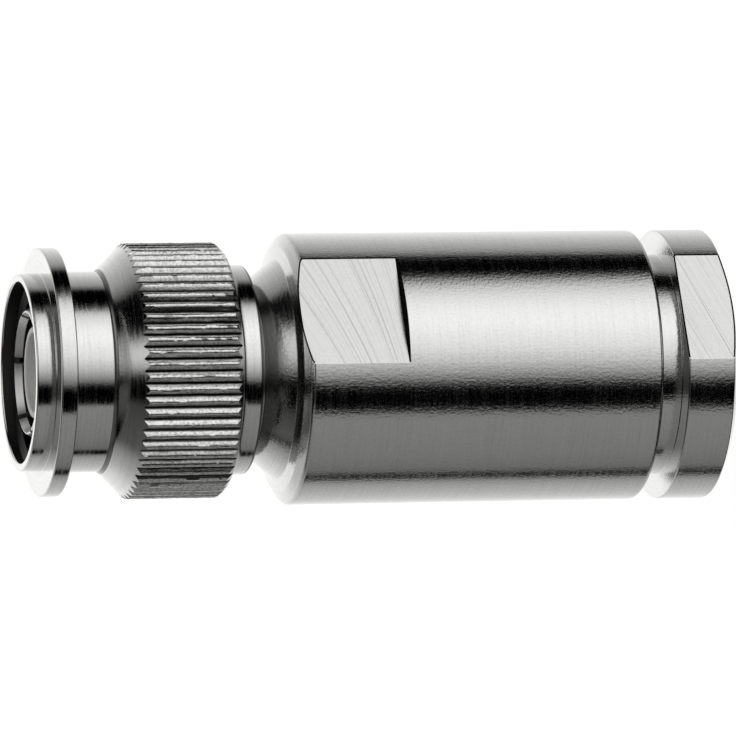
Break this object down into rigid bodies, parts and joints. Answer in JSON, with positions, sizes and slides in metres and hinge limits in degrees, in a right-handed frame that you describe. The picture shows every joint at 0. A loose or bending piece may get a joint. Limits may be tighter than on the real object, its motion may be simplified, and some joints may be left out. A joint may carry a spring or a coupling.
{
  "type": "tnc cable plug",
  "caption": "Straight coaxial cable plug with a knurled threaded coupling nut, slotted outer contact and pin, wrench flats, and a rear clamp nut that grips the cable.",
  "frame": {"origin": "on the axis, in the plane of the clamp nut's rear face, on which the plug stands", "axes": "+Z along the plug's axis to the mating end; the wrench flats of body and clamp nut face +Y and -Y"},
  "size_m": [0.0166, 0.0166, 0.0436],
  "materials": {
    "nickel": "satin",
    "contact": "satin",
    "spring": "satin",
    "insulator": "matte",
    "rubber": "matte"
  },
  "bodies": {
    "plug": {"body": "nickel", "retaining_ring": "spring", "interface_gasket": "rubber", "outer_contact": "contact", "front_insulator": "insulator", "rear_insulator": "insulator", "centre_contact": "contact"},
    "coupling": {"coupling_nut": "nickel"},
    "clamp_stack": {"braid_clamp": "nickel", "cable_gasket": "rubber", "slip_washer": "nickel"},
    "rear_nut": {"clamp_nut": "nickel"}
  },
  "joints": [
    {"name": "coupling_spin", "type": "hinge", "parent": "plug", "child": "coupling", "pos_m": [0, 0, 0.03345], "axis": [0, 0, 1], "continuous": true},
    {"name": "clamp_draw", "type": "slide", "parent": "plug", "child": "clamp_stack", "axis": [0, 0, -1], "range_m": [0, 0.006]},
    {"name": "clamp_turn", "type": "hinge", "parent": "clamp_stack", "child": "rear_nut", "pos_m": [0, 0, 0.00645], "axis": [0, 0, -1], "range_deg": [0, 2160]}
  ],
  "couplings": [
    {"joint": "clamp_draw", "follows": "clamp_turn", "m_per_rad": 0.00015915}
  ]
}
